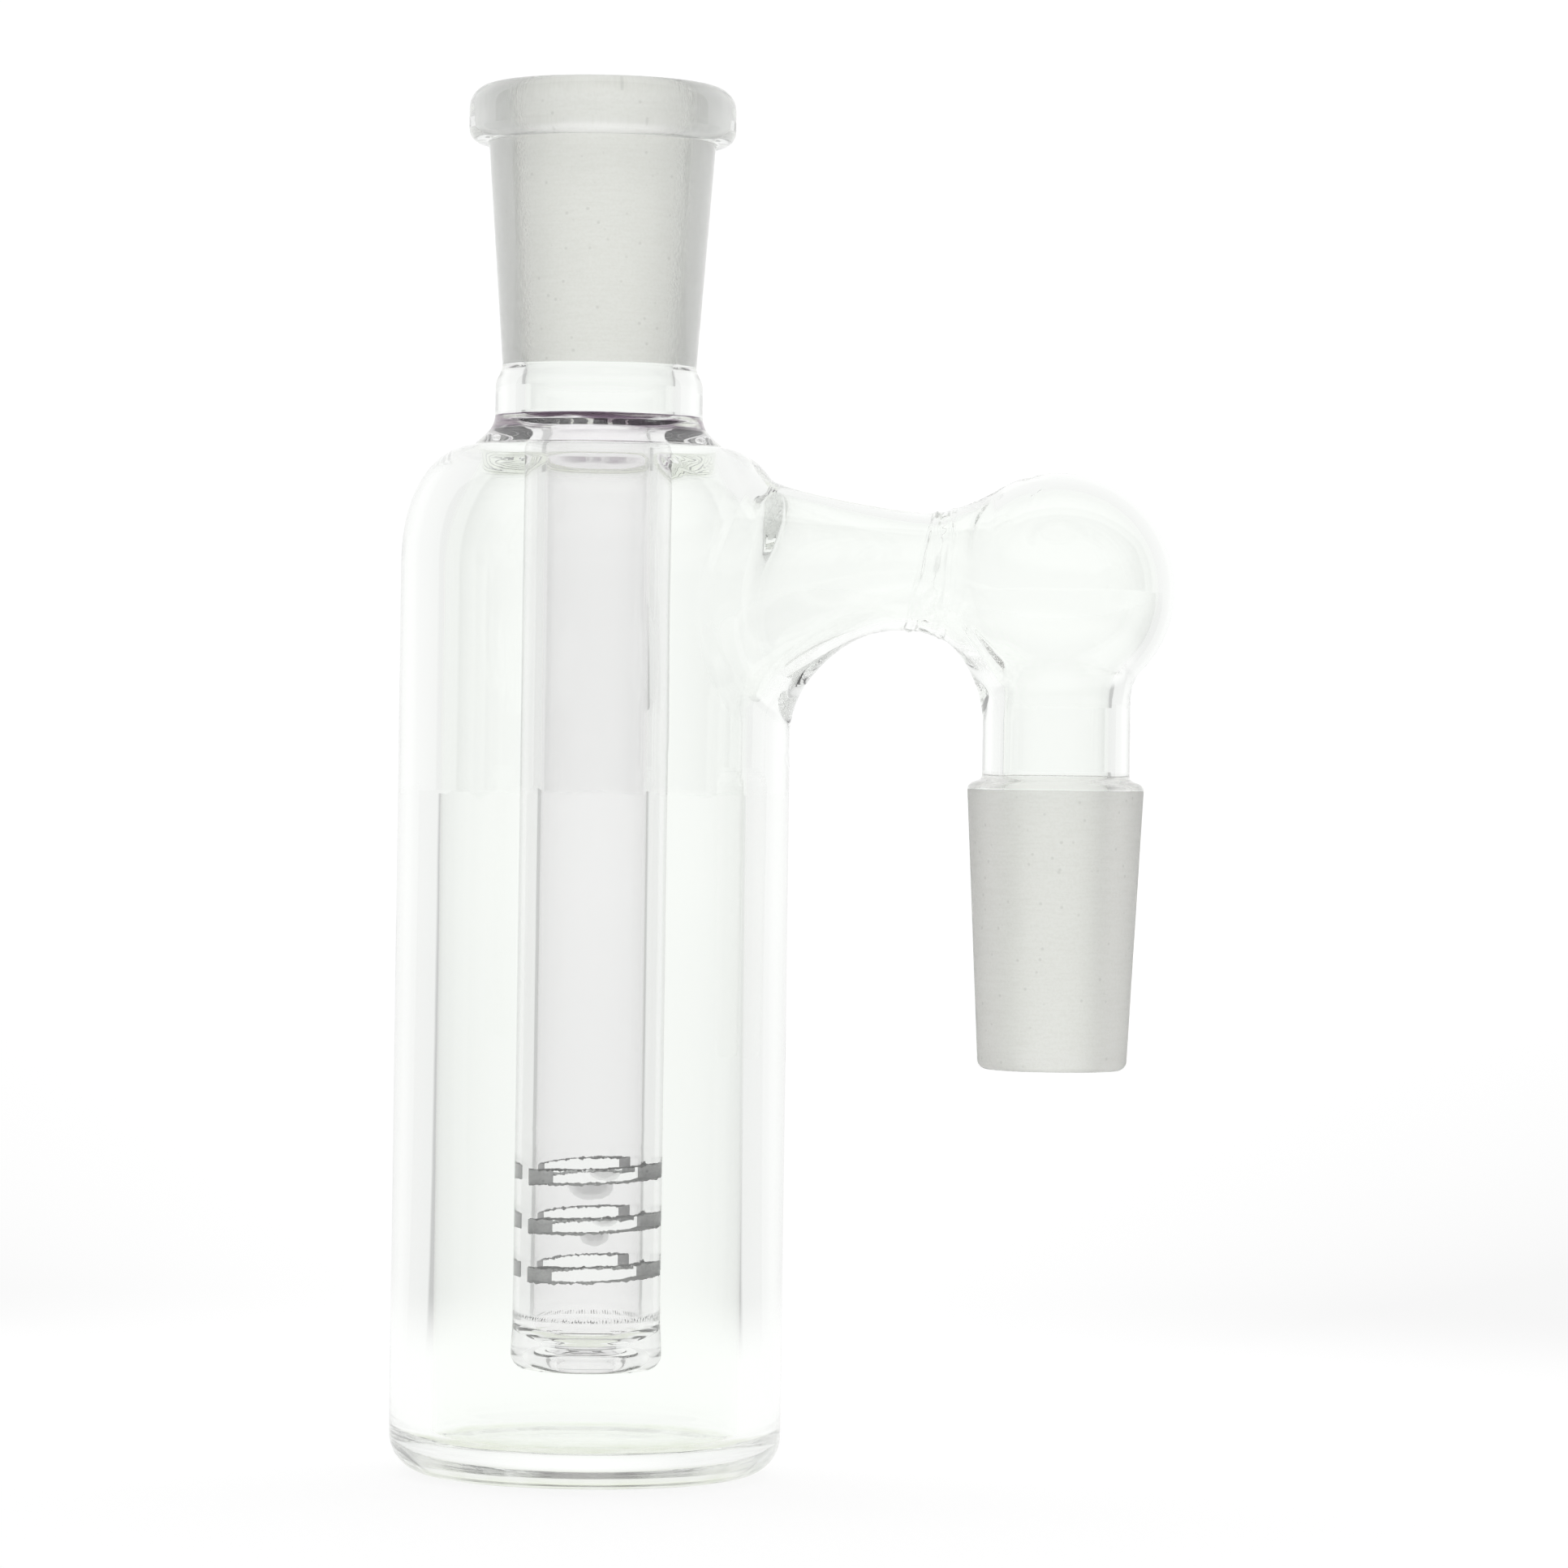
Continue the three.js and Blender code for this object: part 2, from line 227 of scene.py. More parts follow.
class Port:
    """Where a branch leaves a wall: the loop that it leaves by, in angle across and height."""

    def __init__(self, axis_x, turn, wall, loop):
        half_degrees, bottom, top = loop
        self.axis_x = axis_x
        self.turn = turn
        self.wall = wall
        self.half_across = math.radians(half_degrees)
        self.middle = (bottom + top) / 2
        self.half_height = (top - bottom) / 2

    def place(self, across, height):
        radius = self.wall(height)
        out = self.turn * radius * math.cos(across)
        return Vector((self.axis_x + out, radius * math.sin(across), height))

    def loop_point(self, angle):
        return self.half_across * math.cos(angle), self.middle + self.half_height * math.sin(angle)


def ported_wall(outline, port, columns, rows, piece, finish, inward=False):
    """Turns an outline about its axis, with a window of columns and rows redrawn round the port.

    Returns the loop's angles, its points, and the direction of the wall towards the port at each."""
    flip = (port.turn < 0) != inward
    table = [ring(port.axis_x, r, z, port.turn) for r, z in outline]
    for k, (below, above) in enumerate(zip(table, table[1:])):
        for i in range(COLUMNS):
            j = (i + 1) % COLUMNS
            column = (i + COLUMNS // 2) % COLUMNS - COLUMNS // 2
            if rows[0] <= k < rows[1] and columns[0] <= column < columns[1]:
                continue
            corners = [below[i], below[j], above[j], above[i]]
            skin.face(corners[::-1] if flip else corners, piece, finish)

    edge = [(c, rows[0]) for c in range(columns[0], columns[1])]
    edge += [(columns[1], r) for r in range(rows[0], rows[1])]
    edge += [(c, rows[1]) for c in range(columns[1], columns[0], -1)]
    edge += [(columns[0], r) for r in range(rows[1], rows[0], -1)]
    frame_points = [(TURN * c / COLUMNS, outline[r][1]) for c, r in edge]
    mid_height = (outline[rows[0]][1] + outline[rows[1]][1]) / 2
    half_height = (outline[rows[1]][1] - outline[rows[0]][1]) / 2
    half_across = TURN * columns[1] / COLUMNS
    angles = [math.atan2((h - mid_height) / half_height, a / half_across) for a, h in frame_points]

    rings = [[table[r][c % COLUMNS] for c, r in edge]]
    before = None
    for step in range(1, PORT_RINGS + 1):
        t = step / PORT_RINGS
        spots = []
        for (a, h), angle in zip(frame_points, angles):
            loop_a, loop_h = port.loop_point(angle)
            spots.append(port.place(a + (loop_a - a) * t, h + (loop_h - h) * t))
        if step < PORT_RINGS:
            before = spots
        rings.append([skin.point(p) for p in spots])
    skin.grid(rings, piece, finish, flip=flip)
    inwards = [(p - q).normalized() for p, q in zip(spots, before)]
    return angles, spots, inwards


def horn(loop, loop_pull, collar, collar_pull, steps, piece, finish, flip, swell=None):
    """Draws the glass out from a loop to a collar, leaving and arriving along the given pulls.

    A swell gives how far each place stands out from the arm, from its share of the way and the place."""
    rings = []
    for step in range(steps + 1):
        t = step / steps
        h00, h10 = 2 * t ** 3 - 3 * t * t + 1, t ** 3 - 2 * t * t + t
        h01, h11 = 3 * t * t - 2 * t ** 3, t ** 3 - t * t
        spots = [p * h00 + u * h10 + q * h01 + v * h11
                 for p, u, q, v in zip(loop, loop_pull, collar, collar_pull)]
        if swell:
            spots = [spot + outwards(spot) * swell(t, spot) for spot in spots]
        rings.append([skin.point(spot) for spot in spots])
    skin.grid(rings, piece, finish, flip=flip)
    return rings[0], rings[-1]


def outwards(spot):
    """The direction square away from the arm's axis."""
    return Vector((0, spot.y, spot.z - ARM_HEIGHT)).normalized()


# Ridge, valley and ridge: place and width as shares of the weld's length, and height in millimetres.
WELD_WAVES = ((0.2, 0.07, 0.20), (0.5, 0.2, -0.05), (0.84, 0.07, 0.20))
WANDER, WANDER_GRAIN = 0.08, 0.45
KNOT_HEIGHT, KNOT_GRAIN = 0.10, 1.3


def weld_swell(t, spot):
    """Two low ridges of melted glass with an uneven valley between them."""
    wander = WANDER * noise.noise(spot / MM * WANDER_GRAIN)
    ridges = sum(tall * math.exp(-((t - at - wander) / wide) ** 2) for at, wide, tall in WELD_WAVES)
    knots = KNOT_HEIGHT * noise.noise(spot / MM * KNOT_GRAIN) * math.sin(math.pi * t) ** 2
    return (ridges * math.sin(math.pi * t) + knots) * MM


def by_side(angle, under, beside, over):
    """A value that runs from under, through beside, to over, round the arm."""
    lift = math.sin(angle)
    other = over if lift > 0 else under
    return beside + (other - beside) * lift * lift


# ------------------------------------------------------------------ body, base and socket


SHOULDER_BULGE = 2.3         # 2 is a plain ellipse, and more is squarer


def body_wall(height):
    """Outside radius of the body and its shoulder."""
    lift = max(0.0, height - SHOULDER_BOTTOM) / (SEAL_BOTTOM - SHOULDER_BOTTOM)
    spread = max(0.0, 1 - lift ** SHOULDER_BULGE) ** 0.5
    return CROWN_RADIUS + (BODY_RADIUS - CROWN_RADIUS) * spread


def body_lining(height):
    """Inside radius of the body and its shoulder."""
    lift = max(0.0, height - SHOULDER_BOTTOM) / (SHOULDER_BORE_TOP - SHOULDER_BOTTOM)
    return THROAT_RADIUS + (BODY_BORE - THROAT_RADIUS) * math.sqrt(max(0.0, 1 - lift * lift))


TUBE_ROWS = 66
SHOULDER_ROWS = 20


def wall_outline(wall, top):
    """Heights up the body, closer together over the shoulder."""
    tube = [BASE_TOP + (SHOULDER_BOTTOM - BASE_TOP) * k / TUBE_ROWS for k in range(TUBE_ROWS)]
    bend = [SHOULDER_BOTTOM + (top - SHOULDER_BOTTOM) * math.sin(math.pi / 2 * k / SHOULDER_ROWS)
            for k in range(SHOULDER_ROWS + 1)]
    return [(wall(z), z) for z in tube + bend]


# A window is its range of columns and of rows. Both windows have the same count round their edge.
BODY_WINDOW = ((-22, 22), (TUBE_ROWS - 15, TUBE_ROWS + 14))
# Loops, outside and inside: half angle in degrees, and the heights of the bottom and the top.
BODY_LOOPS = ((47, 61.0 * MM, 81.9 * MM), (47, 61.8 * MM, 81.0 * MM))


def body():
    """Body and shoulder, inside and out, with the two loops that the side arm is drawn from."""
    outer_port = Port(0.0, 1, body_wall, BODY_LOOPS[0])
    inner_port = Port(0.0, 1, body_lining, BODY_LOOPS[1])
    outside = wall_outline(body_wall, SEAL_BOTTOM)
    inside = wall_outline(body_lining, SHOULDER_BORE_TOP)
    outer = ported_wall(outside, outer_port, *BODY_WINDOW, "body_glass", "clear")
    inner = ported_wall(inside, inner_port, *BODY_WINDOW, "body_glass", "clear", inward=True)
    return outer, inner


def base():
    """The thick bottom: foot outside and floor inside, each with its rounded corner."""
    foot_round = (BODY_RADIUS - FOOT_ROUND, FOOT_ROUND)
    foot = chain(line((0, 0), (foot_round[0], 0), steps=14),
                 bow(foot_round, (FOOT_ROUND, FOOT_ROUND), -90, 0, steps=14),
                 line((BODY_RADIUS, FOOT_ROUND), (BODY_RADIUS, BASE_TOP), steps=4))
    floor_round = (BODY_BORE - FLOOR_ROUND, FLOOR + FLOOR_ROUND)
    floor = chain(line((BODY_BORE, BASE_TOP), (BODY_BORE, floor_round[1]), steps=3),
                  bow(floor_round, (FLOOR_ROUND, FLOOR_ROUND), 0, -90, steps=12),
                  line((floor_round[0], FLOOR), (0, FLOOR), steps=12))
    _, outer = revolve(foot, "base_glass", "foot")
    inner, _ = revolve(floor, "base_glass", "clear")
    close(outer, inner, ("base_glass", "body_glass"))


def seal():
    """The ring seal: collar outside, bore inside, and the web that carries the dip tube below."""
    crown_pull = (CROWN_RADIUS - 0.5 * MM, SEAL_BOTTOM + 0.75 * MM)
    neck_pull = (NECK_RADIUS + 0.1 * MM, SEAL_BOTTOM + 1.1 * MM)
    outside = sweep((CROWN_RADIUS, SEAL_BOTTOM), crown_pull, neck_pull, (NECK_RADIUS, NECK_BOTTOM), steps=16)
    upper_pull = (SOCKET_BORE, NECK_BOTTOM - 1.3 * MM)
    lower_pull = (DIP_BORE, SEAL_BOTTOM + 1.4 * MM)
    bore = sweep((SOCKET_BORE, NECK_BOTTOM), upper_pull, lower_pull, (DIP_BORE, SEAL_BOTTOM), steps=14)
    web_centre = (THROAT_RADIUS, SHOULDER_BORE_TOP - WEB_ROUND)
    web = bow(web_centre, (WEB_ROUND, WEB_ROUND), 180, 90, steps=8)
    crown, neck_outer = revolve(outside, "seal_ring", "seal")
    neck_inner, dip_inner = revolve(bore, "seal_ring", "seal")
    revolve(web, "seal_ring", "seal")
    close(crown, ring(0, THROAT_RADIUS, SHOULDER_BORE_TOP), ("body_glass", "seal_ring"))
    close(neck_outer, neck_inner, ("seal_ring", "neck_glass"))
    dip_outer = ring(0, *web[0])
    close(dip_outer, dip_inner, ("dip_glass", "seal_ring"))
    return web[0][1]


def socket():
    """The clear neck, the ground socket and the bead round its mouth."""
    neck()
    rim_bore = joint_radius(RIM_BOTTOM - SOCKET_BOTTOM)
    cone_out = line((SOCKET_RADIUS, SOCKET_BOTTOM), (SOCKET_TOP_RADIUS, RIM_BOTTOM), steps=20)
    cone_in = line((rim_bore, RIM_BOTTOM), (SOCKET_BORE, SOCKET_BOTTOM), steps=20)
    cone_outer = revolve(cone_out, "socket_glass", "clear")[1]
    cone_inner = revolve(cone_in, "socket_glass", "frosted")[0]
    close(cone_outer, cone_inner, ("socket_glass", "rim_bead"))
    rim(rim_bore)


def neck():
    """The neck is straight, with a short flare up to the socket's outside."""
    flare_bottom, flare_middle = SOCKET_BOTTOM - 1.9 * MM, SOCKET_BOTTOM - 1.0 * MM
    pulls = (NECK_RADIUS, flare_middle), (SOCKET_RADIUS, SOCKET_BOTTOM - 0.7 * MM)
    outside = chain(line((NECK_RADIUS, NECK_BOTTOM), (NECK_RADIUS, flare_bottom), steps=4),
                    sweep((NECK_RADIUS, flare_bottom), *pulls, (SOCKET_RADIUS, SOCKET_BOTTOM), steps=10))
    inside = line((SOCKET_BORE, SOCKET_BOTTOM), (SOCKET_BORE, NECK_BOTTOM), steps=6)
    outer = revolve(outside, "neck_glass", "clear")[1]
    inner = revolve(inside, "neck_glass", "clear")[0]
    close(outer, inner, ("neck_glass", "socket_glass"))


def rim(bore):
    """The bead stands out over a small shelf, with a tight round below and a wide one on top."""
    low_round, top_round, mouth_round = 1.2 * MM, 1.9 * MM, 0.3 * MM
    shelf = RIM_BOTTOM - 0.2 * MM
    root = (SOCKET_TOP_RADIUS + 0.05 * MM, RIM_BOTTOM)
    pulls = (SOCKET_TOP_RADIUS + 0.1 * MM, shelf), (SOCKET_TOP_RADIUS + 0.3 * MM, shelf)
    low_centre = (RIM_RADIUS - low_round, shelf + low_round)
    top_centre = (RIM_RADIUS - top_round, RIM_TOP - top_round)
    mouth_centre = (MOUTH_BORE + mouth_round, RIM_TOP - mouth_round)
    bead = chain(line((SOCKET_TOP_RADIUS, RIM_BOTTOM), root, steps=2),
                 sweep(root, *pulls, (low_centre[0], shelf), steps=6),
                 bow(low_centre, (low_round, low_round), -90, 0, steps=8),
                 line((RIM_RADIUS, low_centre[1]), (RIM_RADIUS, top_centre[1]), steps=5),
                 bow(top_centre, (top_round, top_round), 0, 90, steps=8),
                 line((top_centre[0], RIM_TOP), (mouth_centre[0], RIM_TOP), steps=5),
                 bow(mouth_centre, (mouth_round, mouth_round), 90, 180, steps=4))
    revolve(bead, "rim_bead", "clear")
    revolve(line((MOUTH_BORE, mouth_centre[1]), (bore, RIM_BOTTOM), steps=6), "rim_bead", "frosted")


# ------------------------------------------------------------------ dip tube


def dip_tube(top):
    """The plain length of the tube, up to the seal's web outside and through the seal inside."""
    outer = line((DIP_RADIUS, DIP_BOTTOM), (DIP_RADIUS, top), steps=60)
    inner = line((DIP_BORE, SEAL_BOTTOM), (DIP_BORE, DIP_BOTTOM), steps=60)
    revolve(inner, "dip_glass", "dip")
    revolve(outer, "dip_glass", "dip")
    close(ring(0, DIP_RADIUS, DIP_BOTTOM), ring(0, DIP_BORE, DIP_BOTTOM), ("diffuser_glass", "dip_glass"))


def tip():
    """The tip: the bore closes to a throat and opens to a bell mouth, with rounded lips."""
    throat, mouth = (2.45 * MM, TIP_BOTTOM + 1.95 * MM), (3.6 * MM, TIP_BOTTOM + 0.75 * MM)
    lip, shoulder = 1.3 * MM, SLOTS_BOTTOM - 0.3 * MM
    sill = (mouth[0] + 0.4 * MM, TIP_BOTTOM)
    closing = (DIP_BORE, throat[1] + 0.35 * MM), (throat[0], throat[1] + 0.35 * MM)
    opening = (throat[0], throat[1] - 0.25 * MM), (mouth[0], mouth[1] + 1.0 * MM)
    turning = (mouth[0], mouth[1] - 0.45 * MM), (mouth[0] - 0.1 * MM, TIP_BOTTOM)
    bore = chain(line((DIP_BORE, SLOTS_BOTTOM), (DIP_BORE, shoulder), steps=2),
                 sweep((DIP_BORE, shoulder), *closing, throat, steps=20),
                 sweep(throat, *opening, mouth, steps=14),
                 sweep(mouth, *turning, sill, steps=8))
    rise = (TIP_RADIUS, TIP_BOTTOM + 2 * lip), (DIP_RADIUS, SLOTS_BOTTOM - lip)
    skirt = chain(line(sill, (TIP_RADIUS - lip, TIP_BOTTOM), steps=2),
                  bow((TIP_RADIUS - lip, TIP_BOTTOM + lip), (lip, lip), -90, 0, steps=12),
                  sweep((TIP_RADIUS, TIP_BOTTOM + lip), *rise, (DIP_RADIUS, SLOTS_BOTTOM), steps=12))
    revolve(bore, "tip_glass", "dip")
    revolve(skirt, "tip_glass", "dip")
    outer, inner = ring(0, DIP_RADIUS, SLOTS_BOTTOM), ring(0, DIP_BORE, SLOTS_BOTTOM)
    close(outer, inner, ("tip_glass", "diffuser_glass"))


FINE = 2                     # the slotted length has this many columns to each column elsewhere
SLOT_COLUMNS = 88            # columns across each saw slot
DEPTH_STEPS = 3              # layers through the wall
SLOT_LAYERS = 4              # rows of faces up each slot
BRIDGE_LAYERS = 8            # rows of faces between slots
SLOT_EASE = 1.5 * MM         # the plain ends take on the slots' columns over this height
SAW_LEAN_X = 0.045
SAW_LEAN_Y = 0.038
SAW_DROP = 0.22 * MM
CHIPS = ((0.11, 1.7), (0.16, 5.3))    # height in millimetres and grain of each size of chip


def slot_angle(column, radius, share):
    """Angle of a column, drawn in so that the slots' ends are flat across the wall."""
    even = TURN * column / (COLUMNS * FINE)
    half = COLUMNS * FINE // 2
    cut = math.acos(SLOT_PLANE / radius)
    offset = (column + SLOT_COLUMNS // 2) % half
    side = (column + SLOT_COLUMNS // 2) // half
    if offset <= SLOT_COLUMNS:
        warped = side * math.pi - cut + 2 * cut * offset / SLOT_COLUMNS
    else:
        bridge = math.pi - 2 * cut
        warped = side * math.pi + cut + bridge * (offset - SLOT_COLUMNS) / (half - SLOT_COLUMNS)
    return even + (warped - even) * share


def saw_lean(x, y):
    """The saw plane leans a little, up to the right and up to the back."""
    return SAW_LEAN_X * x + SAW_LEAN_Y * y - SAW_DROP


def slot_heights():
    """Heights up the slotted length, and for each step whether it is sawn out."""
    heights, sawn = [SLOTS_BOTTOM], []
    for row in range(SLOT_ROWS):
        middle = SLOT_FIRST + row * SLOT_PITCH
        bottom, top = middle - SLOT_HEIGHT / 2, middle + SLOT_HEIGHT / 2
        for steps, target, cut in ((BRIDGE_LAYERS, bottom, False), (SLOT_LAYERS, top, True)):
            start = heights[-1]
            heights += [start + (target - start) * k / steps for k in range(1, steps + 1)]
            sawn += [cut] * steps
    start, steps = heights[-1], BRIDGE_LAYERS
    heights += [start + (DIP_BOTTOM - start) * k / steps for k in range(1, steps + 1)]
    return heights, sawn + [False] * steps


def diffuser():
    """The slotted length, made in layers through the wall, with the cells of each saw cut left out."""
    turned = -math.pi / 2 + SLOT_TURN
    around = COLUMNS * FINE
    shift = round(turned / TURN * around)
    heights, sawn = slot_heights()
    last = len(heights) - 1

    def end_place(radius, i, height):
        """A place on an end ring, whose fine columns lie on the straight edges of the plain one."""
        column = (i + shift) % around
        corners = [TURN * (column // FINE + k) / COLUMNS for k in (0, 1)]
        part = column % FINE / FINE
        x, y = ((1 - part) * f(corners[0]) + part * f(corners[1]) for f in (math.cos, math.sin))
        return skin.point((radius * x, radius * y, height))

    def place(layer, j, i):
        depth = layer / DEPTH_STEPS
        radius = DIP_BORE + (DIP_RADIUS - DIP_BORE) * depth
        height = heights[j]
        if j in (0, last):
            return end_place(radius, i, height)
        share = min(1.0, (height - SLOTS_BOTTOM) / SLOT_EASE, (DIP_BOTTOM - height) / SLOT_EASE)
        angle = slot_angle(i, radius, share) + turned
        x, y = radius * math.cos(angle), radius * math.sin(angle)
        if sawn[j] != sawn[j - 1]:
            seed = Vector((x, y, height)) / MM
            chip = sum(tall * noise.noise(seed * grain) for tall, grain in CHIPS)
            at_faces = 0.3 + 0.7 * abs(2 * depth - 1)
            height += chip * MM * at_faces
        return skin.point((x, y, height + saw_lean(x, y) * share))

    at = [[[place(layer, j, i) for i in range(around)] for j in range(last + 1)]
          for layer in range(DEPTH_STEPS + 1)]

    def cut_cell(j, i):
        return 0 <= j < last and sawn[j] and (i + SLOT_COLUMNS // 2) % (around // 2) < SLOT_COLUMNS

    def side(corners, group):
        """A sawn face, from its inner edge to its outer one."""
        skin.face(corners, "diffuser_glass", "sawn", group)

    for j in range(last):
        for i in range(around):
            n = (i + 1) % around
            if cut_cell(j, i):
                continue
            inner, outer = at[0], at[-1]
            wall = [outer[j][i], outer[j][n], outer[j + 1][n], outer[j + 1][i]]
            lining = [inner[j + 1][i], inner[j + 1][n], inner[j][n], inner[j][i]]
            skin.face(wall, "diffuser_glass", "slotted")
            skin.face(lining, "diffuser_glass", "slotted")
            for near, far in zip(at, at[1:]):
                if cut_cell(j + 1, i):
                    side([near[j + 1][i], far[j + 1][i], far[j + 1][n], near[j + 1][n]], "sill")
                if cut_cell(j - 1, i):
                    side([near[j][n], far[j][n], far[j][i], near[j][i]], "lintel")
                if cut_cell(j, n):
                    side([near[j + 1][n], far[j + 1][n], far[j][n], near[j][n]], "jamb")
                if cut_cell(j, (i - 1) % around):
                    side([near[j][i], far[j][i], far[j + 1][i], near[j + 1][i]], "jamb")


# ------------------------------------------------------------------ arm, bulb and drop


def bulb_profile(sphere, neck, fillet):
    """Radius at a height for a sphere that runs down into a neck through a fillet."""
    drop = math.sqrt((sphere + fillet) ** 2 - (neck + fillet) ** 2)
    touch = BULB_CENTRE - sphere * drop / (sphere + fillet)

    def wall(height):
        if height >= touch:
            return math.sqrt(max(0.0, sphere ** 2 - (height - BULB_CENTRE) ** 2))
        below = height - (BULB_CENTRE - drop)
        if below > 0:
            return neck + fillet - math.sqrt(fillet ** 2 - below ** 2)
        return neck
    return wall


bulb_wall = bulb_profile(BULB_RADIUS, DROP_RADIUS, BULB_FILLET)
bulb_lining = bulb_profile(BULB_BORE, DROP_BORE, BULB_FILLET + BULB_WALL)
BULB_FOOT = 60.6 * MM
BULB_ROWS = 34
BULB_CROWDING = 1.15         # how much closer together the rows are towards the foot
BULB_WINDOW = ((-22, 22), (1, 30))
BULB_LOOPS = ((59, 62.0 * MM, 81.3 * MM), (57, 64.0 * MM, 80.4 * MM))


def bulb_outline(wall, top):
    """Heights up the bulb, closer together towards its crown."""
    heights = [BULB_FOOT + (top - BULB_FOOT) * math.sin(math.pi / 2 * (k / BULB_ROWS) ** BULB_CROWDING)
               for k in range(BULB_ROWS + 1)]
    return [(wall(z), z) for z in heights]


def bulb():
    outer_port = Port(DROP_X, -1, bulb_wall, BULB_LOOPS[0])
    inner_port = Port(DROP_X, -1, bulb_lining, BULB_LOOPS[1])
    outside = bulb_outline(bulb_wall, BULB_CENTRE + BULB_RADIUS)
    inside = bulb_outline(bulb_lining, BULB_CENTRE + BULB_BORE)
    outer = ported_wall(outside, outer_port, *BULB_WINDOW, "bulb_glass", "clear")
    inner = ported_wall(inside, inner_port, *BULB_WINDOW, "bulb_glass", "clear", inward=True)
    foot_pair = ring(DROP_X, *outside[0], -1), ring(DROP_X, *inside[0], -1)
    close(*foot_pair, ("drop_glass", "bulb_glass"), flip=True)
    return outer, inner


def collar(angles, x, lean, centre, high_radius, wide_radius):
    """A ring of places round the arm, leaning along it."""
    return [Vector((x + lean * math.sin(a), wide_radius * math.cos(a), centre + high_radius * math.sin(a)))
            for a in angles]


# The seams at the ends of the weld: place along the arm, lean, and height of the middle.
NEAR_SEAM = (WELD_START + 0.15 * MM, 1.15 * MM, ARM_HEIGHT - 0.05 * MM)
FAR_SEAM = (WELD_END + 0.6 * MM, 0.5 * MM, ARM_HEIGHT - 0.2 * MM)
# Half height and half width at each seam, for the outside and then the inside.
NEAR_RADII = ((ARM_RADIUS, ARM_RADIUS), (ARM_BORE, ARM_BORE))
FAR_RADII = ((5.5 * MM, 5.6 * MM), (4.65 * MM, 4.5 * MM))
# Pulls in millimetres under, beside and over the arm, for the outside and then the inside.
LEAVE_BODY = ((12.5, 11.0, 3.0), (12.0, 10.0, 3.0))
REACH_WELD = ((14.0, 12.0, 9.0), (14.0, 12.0, 10.0))
LEAVE_BULB = ((9.0, 5.0, 3.4), (6.5, 4.8, 3.2))
REACH_STUB = (5.0, 4.5, 3.2)
STUB_FLARE = (0.6, 0.55, 0.32)    # slope of the bulb's stub at the weld, under, beside and over
WELD_PULL = 3.0 * MM
ARM_STEPS, STUB_STEPS, WELD_STEPS = 26, 14, 24


def arm():
    """Side arm, weld and bulb stub, outside and inside, drawn between the two pairs of loops."""
    body_loops, bulb_loops = body(), bulb()
    ends = []
    for inner in (False, True):
        angles, loop, inwards = body_loops[inner]
        far_angles, far_loop, far_inwards = bulb_loops[inner]
        start = collar(angles, *NEAR_SEAM, *NEAR_RADII[inner])
        stop = collar(far_angles, *FAR_SEAM, *FAR_RADII[inner])
        slopes = [by_side(a, *STUB_FLARE) for a in far_angles]
        lines = [Vector((-1, -f * math.cos(a), -f * math.sin(a))).normalized()
                 for f, a in zip(slopes, far_angles)]
        loop_pull = [u * by_side(a, *LEAVE_BODY[inner]) * MM for u, a in zip(inwards, angles)]
        start_pull = [Vector((by_side(a, *REACH_WELD[inner]) * MM, 0, 0)) for a in angles]
        far_pull = [u * by_side(a, *LEAVE_BULB[inner]) * MM for u, a in zip(far_inwards, far_angles)]
        stop_pull = [u * by_side(a, *REACH_STUB) * MM for u, a in zip(lines, far_angles)]
        near = horn(loop, loop_pull, start, start_pull, ARM_STEPS, "arm_glass", "clear", inner)
        far = horn(far_loop, far_pull, stop, stop_pull, STUB_STEPS, "bulb_glass", "clear", not inner)
        lead_in = [Vector((WELD_PULL, 0, 0))] * len(angles)
        lead_out = [-u * WELD_PULL for u in lines]
        swell = None if inner else weld_swell
        horn(start, lead_in, stop, lead_out, WELD_STEPS, "weld_ring", "weld", inner, swell)
        ends.append((near, far))
    (near_out, far_out), (near_in, far_in) = ends
    close(near_out[1], near_in[1], ("arm_glass", "weld_ring"))
    close(far_out[1], far_in[1], ("weld_ring", "bulb_glass"))
    close(near_out[0], near_in[0], ("body_glass", "arm_glass"))


